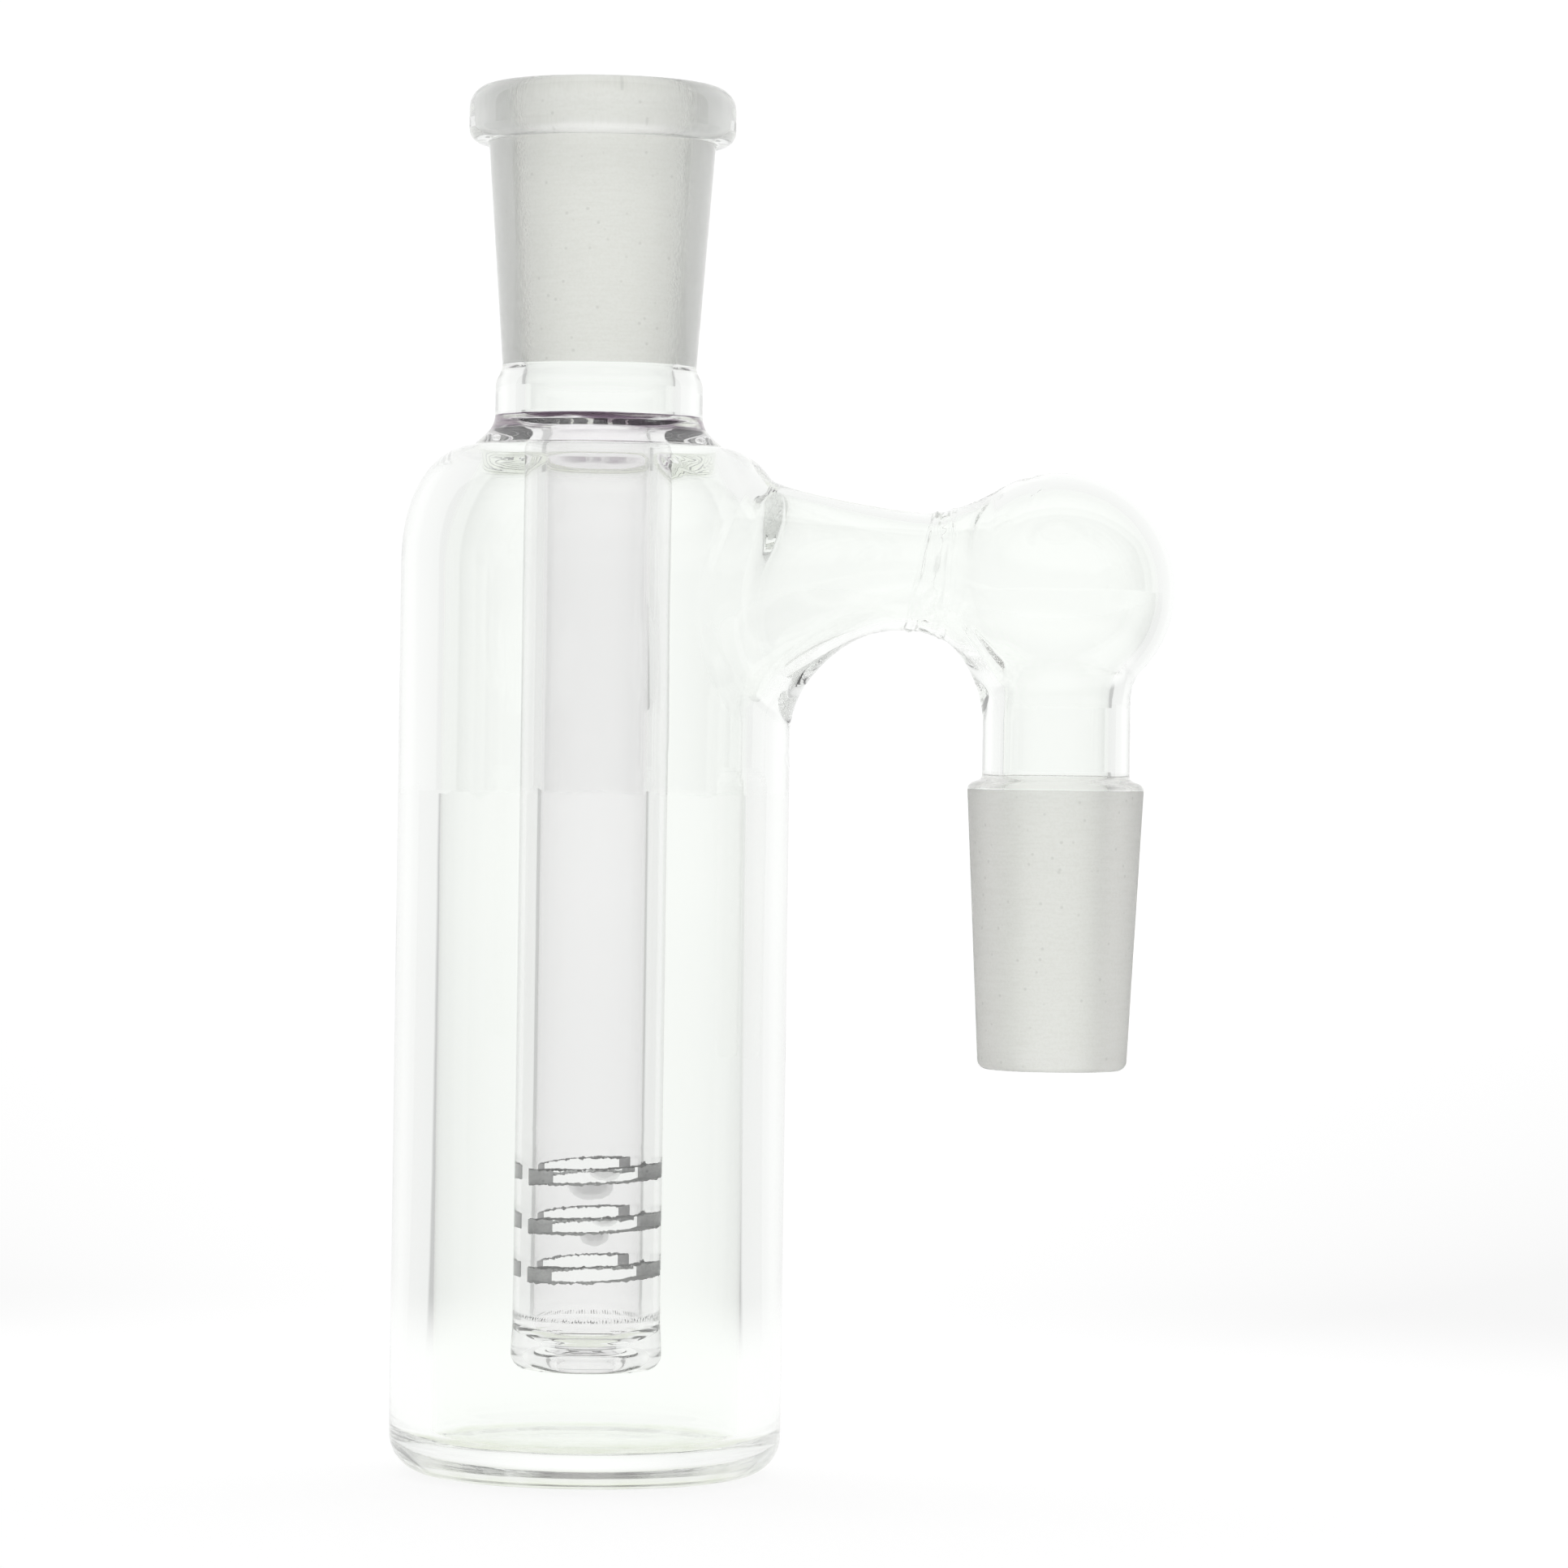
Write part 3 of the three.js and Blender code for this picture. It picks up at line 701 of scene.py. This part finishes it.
def drop():
    """The clear neck under the bulb and the ground cone, with its collar and rounded lip."""
    lip, bore_round = 0.8 * MM, 0.3 * MM
    neck_out = line((DROP_RADIUS, COLLAR_TOP), (DROP_RADIUS, BULB_FOOT), steps=8)
    neck_in = line((DROP_BORE, BULB_FOOT), (DROP_BORE, COLLAR_TOP), steps=8)
    lip_radius = SOCKET_BORE + JOINT_TAPER * lip
    collar_foot = (CONE_RADIUS - 0.15 * MM, CONE_TOP + 0.45 * MM)
    edge_pulls = (CONE_RADIUS, CONE_TOP + 0.2 * MM), (CONE_RADIUS, CONE_TOP + 0.3 * MM)
    collar_pulls = (CONE_RADIUS - 0.5 * MM, CONE_TOP + 0.8 * MM), (DROP_RADIUS, COLLAR_TOP - 0.5 * MM)
    bore_centre = (DROP_BORE + bore_round, CONE_BOTTOM + bore_round)
    flank = chain(line((bore_centre[0], CONE_BOTTOM), (lip_radius - lip, CONE_BOTTOM), steps=3),
                  bow((lip_radius - lip, CONE_BOTTOM + lip), (lip, lip), -90, 0, steps=8),
                  line((lip_radius, CONE_BOTTOM + lip), (CONE_RADIUS, CONE_TOP), steps=24))
    step = chain(sweep((CONE_RADIUS, CONE_TOP), *edge_pulls, collar_foot, steps=4),
                 sweep(collar_foot, *collar_pulls, (DROP_RADIUS, COLLAR_TOP), steps=8))
    bore = chain(line((DROP_BORE, COLLAR_TOP), (DROP_BORE, bore_centre[1]), steps=26),
                 bow(bore_centre, (bore_round, bore_round), 180, 270, steps=4))
    for outline, piece, finish in ((neck_out, "drop_glass", "clear"), (neck_in, "drop_glass", "clear"),
                                   (flank, "cone_glass", "ground"), (step, "cone_glass", "clear"),
                                   (bore, "cone_glass", "clear")):
        revolve(outline, piece, finish, DROP_X, -1)
    outer, inner = ring(DROP_X, DROP_RADIUS, COLLAR_TOP, -1), ring(DROP_X, DROP_BORE, COLLAR_TOP, -1)
    close(outer, inner, ("cone_glass", "drop_glass"), flip=True)


base()
dip_top = seal()
socket()
dip_tube(dip_top)
diffuser()
tip()
arm()
drop()

# ------------------------------------------------------------------ materials


GLASS_IOR = 1.473
CLEAR_TINT = (0.984, 0.998, 0.981)
CLEAR_STREAK = (0.968, 0.985, 0.965)
DIP_TINT = (0.978, 0.966, 0.978)
DIP_STREAK = (0.955, 0.945, 0.958)
# Painted shade: a dark olive that stands in for the caustics and dark in the foot's thick corner.
OLIVE_CAUSTIC_SHADE = (0.60, 0.68, 0.42)
SMOKE_TINT = (0.17, 0.12, 0.17)
GROUND_MARK = (0.78, 0.77, 0.78)
MARK_ROUGHNESS = 0.5
PIT_DARKNESS = 0.85          # a pit's colour against the ground glass round it
WHEEL_SHARE = 0.35           # how much of the grain is marks that run round
# Heights where the painted olive shade is none and where it is full, near the foot's bottom.
OLIVE_SHADE_HEIGHTS = (1.9 * MM, 0.3 * MM)
SMOKE_HEIGHTS = (SEAL_BOTTOM + 0.5 * MM, SEAL_BOTTOM + 1.5 * MM)
# Each oval mark under a slot: place across, front or back, row of slots, and half size in millimetres.
TOUCH_MARKS = ((0.4, -1, 2, (1.85, 2.6, 1.25)), (0.7, -1, 1, (1.2, 2.6, 1.0)),
               (1.5, 1, 2, (1.7, 2.6, 0.9)), (1.5, 1, 1, (1.4, 2.6, 0.7)))


def add(tree, kind, **settings):
    """A new shader node. A setting is one of its properties, or the value of the socket of that name."""
    node = tree.nodes.new("ShaderNode" + kind)
    for name, value in settings.items():
        if hasattr(node, name):
            setattr(node, name, value)
        else:
            node.inputs[name.replace("_", " ").title()].default_value = value
    return node


def feed(tree, socket, value):
    """Gives an input a value: another socket, a colour or a number."""
    if isinstance(value, bpy.types.NodeSocket):
        tree.links.new(value, socket)
    elif socket.type == "RGBA":
        socket.default_value = (*value, 1)
    else:
        socket.default_value = value


def ramp(tree, value, start, end, first=0.0, last=1.0, smooth=True):
    """A value that runs from first to last while the given one runs from start to end."""
    node = add(tree, "MapRange", interpolation_type="SMOOTHSTEP" if smooth else "LINEAR")
    settings = (value, start, end, first, last)
    for label, setting in zip(("Value", "From Min", "From Max", "To Min", "To Max"), settings):
        feed(tree, node.inputs[label], setting)
    return node.outputs["Result"]


def combine(tree, operation, *values):
    """The result of a maths operation on numbers or sockets."""
    node = add(tree, "Math", operation=operation)
    for socket, value in zip(node.inputs, values):
        feed(tree, socket, value)
    return node.outputs["Value"]


def combine_vectors(tree, operation, *values):
    """The result of a maths operation on vector sockets."""
    node = add(tree, "VectorMath", operation=operation)
    for socket, value in zip(node.inputs, values):
        feed(tree, socket, value)
    return node.outputs["Value" if operation == "LENGTH" else "Vector"]


def blend(tree, factor, first, second):
    """A colour that runs from first to second by a factor socket; either may be a socket."""
    node = add(tree, "Mix", data_type="RGBA")
    feed(tree, node.inputs["Factor"], factor)
    for socket, colour in zip((k for k in node.inputs if k.type == "RGBA"), (first, second)):
        feed(tree, socket, colour)
    return next(k for k in node.outputs if k.type == "RGBA")


def grey(level):
    return (level, level, level)


def new_group(name, takes, gives):
    """An empty node group: takes and gives map each socket's name to its kind."""
    group = bpy.data.node_groups.new(name, "ShaderNodeTree")
    for way, sockets in (("INPUT", takes), ("OUTPUT", gives)):
        for label, kind in sockets.items():
            group.interface.new_socket(label, in_out=way, socket_type="NodeSocket" + kind)
    return group, group.nodes.new("NodeGroupInput"), group.nodes.new("NodeGroupOutput")


def place_group(tree, group, **values):
    """A node that stands for the group, with its inputs set."""
    node = tree.nodes.new("ShaderNodeGroup")
    node.node_tree = group
    for label, value in values.items():
        node.inputs[label.replace("_", " ")].default_value = value
    return node


def object_place(tree):
    return add(tree, "TexCoord").outputs["Object"]


def texture(tree, kind, stretch=(1, 1, 1), **settings):
    """A texture whose scale counts grains to the millimetre, stretched where its grain runs one way."""
    scale = add(tree, "Mapping")
    scale.inputs["Scale"].default_value = [factor / MM for factor in stretch]
    tree.links.new(object_place(tree), scale.inputs["Vector"])
    grain = add(tree, kind, **settings)
    tree.links.new(scale.outputs["Vector"], grain.inputs["Vector"])
    return grain.outputs["Distance" if kind == "TexVoronoi" else "Fac"]


def bump(tree, strength, distance, height):
    """A normal bent by a height."""
    node = add(tree, "Bump", strength=strength)
    tree.links.new(distance, node.inputs["Distance"])
    tree.links.new(height, node.inputs["Height"])
    return node.outputs["Normal"]


def hand_drawn_group():
    """Long soft waves from drawing the glass by hand, and a few small streaks in it."""
    tree, take, give = new_group("hand_drawn_glass", {"Depth": "Float", "Streaks": "Float"},
                                 {"Normal": "Vector", "Streak": "Float"})
    waves = texture(tree, "TexNoise", (1, 1, 0.35), scale=0.22, detail=2.0, roughness=0.45)
    streaks = texture(tree, "TexNoise", (1, 1, 0.08), scale=1.6, detail=3.0, roughness=0.6)
    streak = ramp(tree, streaks, 0.56, 0.78, last=take.outputs["Streaks"])
    tree.links.new(bump(tree, 1.0, take.outputs["Depth"], waves), give.inputs["Normal"])
    tree.links.new(streak, give.inputs["Streak"])
    return tree


def grinding_group():
    """The bite of the grinding wheel: even fine grain, pits that it left, and marks that run round."""
    tree, take, give = new_group("grinding", {"Depth": "Float"},
                                 {"Normal": "Vector", "Grain": "Float", "Pits": "Float"})
    grain = texture(tree, "TexNoise", scale=4.2, detail=5.0, roughness=0.7)
    rings = texture(tree, "TexNoise", (0.25, 0.25, 3.0), scale=1.3, detail=4.0, roughness=0.65)
    pits = texture(tree, "TexVoronoi", scale=0.9)
    both = add(tree, "Mix", data_type="FLOAT", factor=WHEEL_SHARE)
    tree.links.new(grain, both.inputs["A"])
    tree.links.new(rings, both.inputs["B"])
    bite = both.outputs["Result"]
    tree.links.new(bump(tree, 0.6, take.outputs["Depth"], bite), give.inputs["Normal"])
    tree.links.new(ramp(tree, bite, 0.40, 0.62), give.inputs["Grain"])
    tree.links.new(ramp(tree, pits, 0.06, 0.17, first=1.0, last=0.0), give.inputs["Pits"])
    return tree


def touch_mark_group():
    """A shallow oval with a ragged edge, which the saw's rim ground under a slot."""
    takes = {"Centre": "Vector", "Half Size": "Vector"}
    tree, take, give = new_group("touch_mark", takes, {"Mask": "Float"})
    away = combine_vectors(tree, "SUBTRACT", object_place(tree), take.outputs["Centre"])
    part = combine_vectors(tree, "DIVIDE", away, take.outputs["Half Size"])
    reach = combine_vectors(tree, "LENGTH", part)
    rough_edge = texture(tree, "TexNoise", scale=1.5, detail=3.0)
    ragged = combine(tree, "MULTIPLY_ADD", rough_edge, 0.25, reach)
    inside = ramp(tree, ragged, 1.06, 1.14, first=1.0, last=0.0, smooth=False)
    tree.links.new(inside, give.inputs["Mask"])
    return tree


HAND_DRAWN = hand_drawn_group()
GRINDING = grinding_group()
TOUCH_MARK = touch_mark_group()


def glass(name, roughness, transmission=1.0):
    """A glass material with nothing joined to it yet, its shader and its tree."""
    material = bpy.data.materials.new(name)
    material.use_nodes = True
    tree = material.node_tree
    shader = tree.nodes["Principled BSDF"]
    shader.inputs["Roughness"].default_value = roughness
    shader.inputs["IOR"].default_value = GLASS_IOR
    shader.inputs["Transmission Weight"].default_value = transmission
    return material, tree, shader


def clear_glass(name, tint, streak_tint, waves=0.006, streaks=0.5):
    """Clear glass, with soft waves in its face and faint streaks in its colour."""
    material, tree, shader = glass(name, 0.0)
    drawn = place_group(tree, HAND_DRAWN, Depth=waves * MM, Streaks=streaks)
    tree.links.new(blend(tree, drawn.outputs["Streak"], tint, streak_tint), shader.inputs["Base Color"])
    tree.links.new(drawn.outputs["Normal"], shader.inputs["Normal"])
    return material, tree, shader


def height_mask(tree, start, end):
    """A mask that runs from 0 at the start height to 1 at the end height."""
    split = add(tree, "SeparateXYZ")
    tree.links.new(object_place(tree), split.inputs["Vector"])
    return ramp(tree, split.outputs["Z"], start, end)


def base_glass():
    """Clear glass with painted olive shade in patches in the thick corner of the foot, strongest at its
    bottom, in place of the dark caustics there.
    """
    material, tree, shader = clear_glass("base_glass", CLEAR_TINT, CLEAR_STREAK)
    patches = texture(tree, "TexNoise", scale=0.35, detail=2.0)
    # Painted shade: olive patches that fade out up the foot.
    painted_shade = combine(tree, "MULTIPLY", height_mask(tree, *OLIVE_SHADE_HEIGHTS), patches)
    tree.links.new(blend(tree, painted_shade, CLEAR_TINT, OLIVE_CAUSTIC_SHADE), shader.inputs["Base Color"])
    return material


def seal_glass():
    """The melted seal: smoky bands that wander round it, darkest where the neck joins it."""
    material, tree, shader = clear_glass("seal_glass", DIP_TINT, DIP_STREAK, waves=0.06)
    bands = texture(tree, "TexNoise", (0.25, 0.25, 1.6), scale=0.8, detail=3.0, distortion=0.6)
    smoke = combine(tree, "MULTIPLY", ramp(tree, bands, 0.34, 0.52), height_mask(tree, *SMOKE_HEIGHTS))
    tree.links.new(blend(tree, smoke, DIP_TINT, SMOKE_TINT), shader.inputs["Base Color"])
    return material


def slotted_glass():
    """Dip tube glass with the oval marks that the saw ground below its slots."""
    material, tree, shader = clear_glass("slotted_glass", DIP_TINT, DIP_STREAK)
    total = 0.0
    for across, side, row, half_size in TOUCH_MARKS:
        x, y = across * MM, side * DIP_RADIUS
        z = SLOT_FIRST + row * SLOT_PITCH - SLOT_HEIGHT / 2 + saw_lean(x, y)
        mark = place_group(tree, TOUCH_MARK, Centre=(x, y, z), Half_Size=[k * MM for k in half_size])
        total = combine(tree, "MAXIMUM", mark.outputs["Mask"], total)
    tree.links.new(blend(tree, total, DIP_TINT, GROUND_MARK), shader.inputs["Base Color"])
    tree.links.new(combine(tree, "MULTIPLY", total, MARK_ROUGHNESS), shader.inputs["Roughness"])
    return material


def ground_glass(name, light, dark, roughness, transmission, depth=0.04):
    """Frosted glass: grain and pits in its colour and face."""
    material, tree, shader = glass(name, roughness, transmission)
    wheel = place_group(tree, GRINDING, Depth=depth * MM)
    cloudy = blend(tree, wheel.outputs["Grain"], light, dark)
    pit = tuple(PIT_DARKNESS * k for k in dark)
    tree.links.new(blend(tree, wheel.outputs["Pits"], cloudy, pit), shader.inputs["Base Color"])
    tree.links.new(wheel.outputs["Normal"], shader.inputs["Normal"])
    return material


def fused_face():
    """The face between two fused pieces, which light passes unchanged."""
    material, _, shader = glass("fused_face", 0.0)
    shader.inputs["Alpha"].default_value = 0.0
    return material


FINISHES = {
    "clear": clear_glass("clear_glass", CLEAR_TINT, CLEAR_STREAK)[0],
    "foot": base_glass(),
    "weld": clear_glass("weld_glass", CLEAR_TINT, CLEAR_STREAK, waves=0.09, streaks=0.9)[0],
    "seal": seal_glass(),
    "dip": clear_glass("dip_tube_glass", DIP_TINT, DIP_STREAK)[0],
    "slotted": slotted_glass(),
    "ground": ground_glass("ground_cone", light=(0.955, 0.955, 0.925), dark=(0.865, 0.865, 0.83),
                           roughness=0.55, transmission=0.92),
    "frosted": ground_glass("ground_bore", light=(1.0, 1.0, 0.965), dark=(0.915, 0.915, 0.875),
                            roughness=0.55, transmission=0.92),
    "sawn": ground_glass("sawn_edge", light=(1.0, 0.995, 1.0), dark=(0.84, 0.835, 0.845),
                         roughness=0.6, transmission=0.25, depth=0.06),
    "fused": fused_face(),
}

# ------------------------------------------------------------------ pieces out of the skin

PIECES = {
    "rim_bead": ("ground_glass", ["socket_rim"]),
    "socket_glass": ("ground_glass", ["ground_socket"]),
    "neck_glass": ("clear_glass", ["socket_neck"]),
    "seal_ring": ("dip_glass", ["ring_seal"]),
    "body_glass": ("clear_glass", ["body_shoulder", "body_tube"]),
    "base_glass": ("clear_glass", ["base"]),
    "dip_glass": ("dip_glass", ["dip_tube"]),
    "diffuser_glass": ("dip_glass", ["slotted_diffuser"]),
    "tip_glass": ("dip_glass", ["diffuser_tip"]),
    "arm_glass": ("clear_glass", ["side_arm"]),
    "weld_ring": ("clear_glass", ["arm_weld_ring"]),
    "bulb_glass": ("clear_glass", ["elbow_bulb"]),
    "drop_glass": ("clear_glass", ["drop_neck"]),
    "cone_glass": ("ground_glass", ["ground_cone"]),
}


SMALLEST_NORMAL = 1e-30      # keeps a face with no area from dividing by nothing


def corner_normals(points, faces):
    """A normal for each corner, smoothed with every face that shares its point and its group."""
    sums = {}
    for corners, _, _, group in faces:
        a, b, c = (points[corners[i]] for i in (0, 1, 2))
        d = points[corners[-1]]
        normal = np.cross(c - a, d - b) if len(corners) == 4 else np.cross(b - a, c - a)
        for corner in corners:
            key = (corner, group)
            sums[key] = sums.get(key, 0) + normal
    for key, total in sums.items():
        sums[key] = total / max(np.linalg.norm(total), SMALLEST_NORMAL)
    return sums


def part_out(points, faces, normals):
    """One closed mesh object for each piece, with the smooth shading of the whole vessel."""
    objects = {}
    for piece in PIECES:
        own = [f for f in faces if f[1] == piece]
        used = sorted({c for f in own for c in f[0]})
        local = {c: k for k, c in enumerate(used)}
        finishes = sorted({f[2] for f in own})
        mesh = bpy.data.meshes.new(piece)
        mesh.from_pydata([points[c] for c in used], [], [[local[c] for c in f[0]] for f in own])
        for finish in finishes:
            mesh.materials.append(FINISHES[finish])
        mesh.polygons.foreach_set("material_index", [finishes.index(f[2]) for f in own])
        mesh.polygons.foreach_set("use_smooth", [True] * len(own))
        mesh.update()
        mesh.normals_split_custom_set([normals[c, f[3]] for f in own for c in f[0]])
        objects[piece] = bpy.data.objects.new(piece, mesh)
        bpy.context.scene.collection.objects.link(objects[piece])
    return objects


points = np.array(skin.points)
objects = part_out(points, skin.faces, corner_normals(points, skin.faces))
for piece, (slot, nodes) in PIECES.items():
    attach(objects[piece], "root")
    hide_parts(*nodes)

# ------------------------------------------------------------------ floor, light and camera


REAR_LIGHT = 1.06            # the white wall straight behind the glass
# Brightness of the wall, from its share of the direction that is towards the rear.
REAR_FADE = ((0.0, 0.85), (0.5, 0.86), (0.906, 0.905), (0.966, 0.965), (1.0, 1.0))
REAR_EDGE = (0.52, 0.57)     # where the wall ends: nearly 60 degrees off, measured along the floor
OVERHEAD_SHARE = 0.6         # how much a direction's rise widens the wall
LEAST_RISE = 0.5             # off the floor, each direction counts as rising this much or more
SIDE_LIGHT = 0.10
FRONT_LIGHT = 0.34
FRONT_TURN = (0.1, -0.7)     # the side light runs into the front light over this stretch
FLOOR_HALF_SIZE = 30.0
FLOOR_DROP = 0.05 * MM       # keeps the floor clear of the foot's face
FLOOR_GREY = 0.25
FLOOR_SHADE = 0.5            # the floor to the sides and in front, away from the glass
FLOOR_GLOW = (0.875, 0.90)   # near the glass and far behind it
GLOW_REACH = (0.2, 3.0)
NEAR_WHITE = (0.11, 0.20)    # round the glass the floor is white, out to this far


def rear_wall(tree, toward, room, upward=None):
    """Brightness by direction: the wall behind fades a little to its edge, and then the room shows.

    With an upward socket the wall is wider, and carries on overhead."""
    total = combine(tree, "MULTIPLY_ADD", upward, OVERHEAD_SHARE, toward) if upward else toward
    fade = add(tree, "ValToRGB")
    stops = fade.color_ramp.elements
    for _ in REAR_FADE[2:]:
        stops.new(1.0)
    for stop, (place, level) in zip(stops, REAR_FADE):
        stop.position = place
        stop.color = (*grey(level), 1)
    tree.links.new(toward, fade.inputs["Fac"])
    return blend(tree, ramp(tree, total, *REAR_EDGE), room, fade.outputs["Color"])


def floor_material():
    """Pale matt floor that glows a little, so that it shows as white as the wall behind."""
    material = bpy.data.materials.new("floor_white")
    material.use_nodes = True
    tree = material.node_tree
    shader = tree.nodes["Principled BSDF"]
    shader.inputs["Base Color"].default_value = (*grey(FLOOR_GREY), 1)
    shader.inputs["Roughness"].default_value = 0.9
    shader.inputs["Specular IOR Level"].default_value = 0.0
    place = object_place(tree)
    far = combine_vectors(tree, "LENGTH", place)
    glow = ramp(tree, far, *GLOW_REACH, *FLOOR_GLOW)
    tree.links.new(glow, shader.inputs["Emission Strength"])
    split = add(tree, "SeparateXYZ")
    tree.links.new(combine_vectors(tree, "NORMALIZE", place), split.inputs["Vector"])
    around = rear_wall(tree, split.outputs["Y"], grey(FLOOR_SHADE))
    near = ramp(tree, far, *NEAR_WHITE, first=1.0, last=0.0)
    tree.links.new(blend(tree, near, around, grey(1.0)), shader.inputs["Emission Color"])
    return material


def stage_floor():
    size = FLOOR_HALF_SIZE
    mesh = bpy.data.meshes.new("floor")
    corners = [(-size, -size), (size, -size), (size, size), (-size, size)]
    mesh.from_pydata([(x, y, -FLOOR_DROP) for x, y in corners], [], [(0, 1, 2, 3)])
    mesh.materials.append(floor_material())
    floor = bpy.data.objects.new("floor", mesh)
    bpy.context.scene.collection.objects.link(floor)


def studio_world():
    """A white wall behind that carries on overhead, and a dimmer room at the sides and in front."""
    world = bpy.data.worlds.new("studio")
    bpy.context.scene.world = world
    world.use_nodes = True
    tree = world.node_tree
    split = add(tree, "SeparateXYZ")
    tree.links.new(add(tree, "TexCoord").outputs["Generated"], split.inputs["Vector"])
    rise = combine(tree, "MAXIMUM", split.outputs["Z"], LEAST_RISE)
    front = ramp(tree, split.outputs["Y"], *FRONT_TURN)
    room = blend(tree, front, grey(SIDE_LIGHT), grey(FRONT_LIGHT))
    background = tree.nodes["Background"]
    background.inputs["Strength"].default_value = REAR_LIGHT
    tree.links.new(rear_wall(tree, split.outputs["Y"], room, rise), background.inputs["Color"])


CAMERA_PLACE = (15.65 * MM, -518 * MM, 56.84 * MM)
CAMERA_ROLL = -0.8
SENSOR_WIDTH = 36
LENS = 144.5


def camera():
    data = bpy.data.cameras.new("camera")
    data.sensor_width = SENSOR_WIDTH
    data.lens = LENS
    eye = bpy.data.objects.new("camera", data)
    eye.location = CAMERA_PLACE
    eye.rotation_euler = (math.pi / 2, math.radians(CAMERA_ROLL), 0)
    bpy.context.scene.collection.objects.link(eye)
    bpy.context.scene.camera = eye


LIGHT_BOUNCES = 160          # light runs a long way round inside thick glass before it leaves


def light_paths():
    scene = bpy.context.scene
    scene.view_settings.view_transform = "Standard"
    scene.cycles.max_bounces = LIGHT_BOUNCES
    scene.cycles.transmission_bounces = LIGHT_BOUNCES
    scene.cycles.glossy_bounces = LIGHT_BOUNCES
    scene.cycles.transparent_max_bounces = LIGHT_BOUNCES
    scene.cycles.use_denoising = True


stage_floor()
studio_world()
camera()
light_paths()
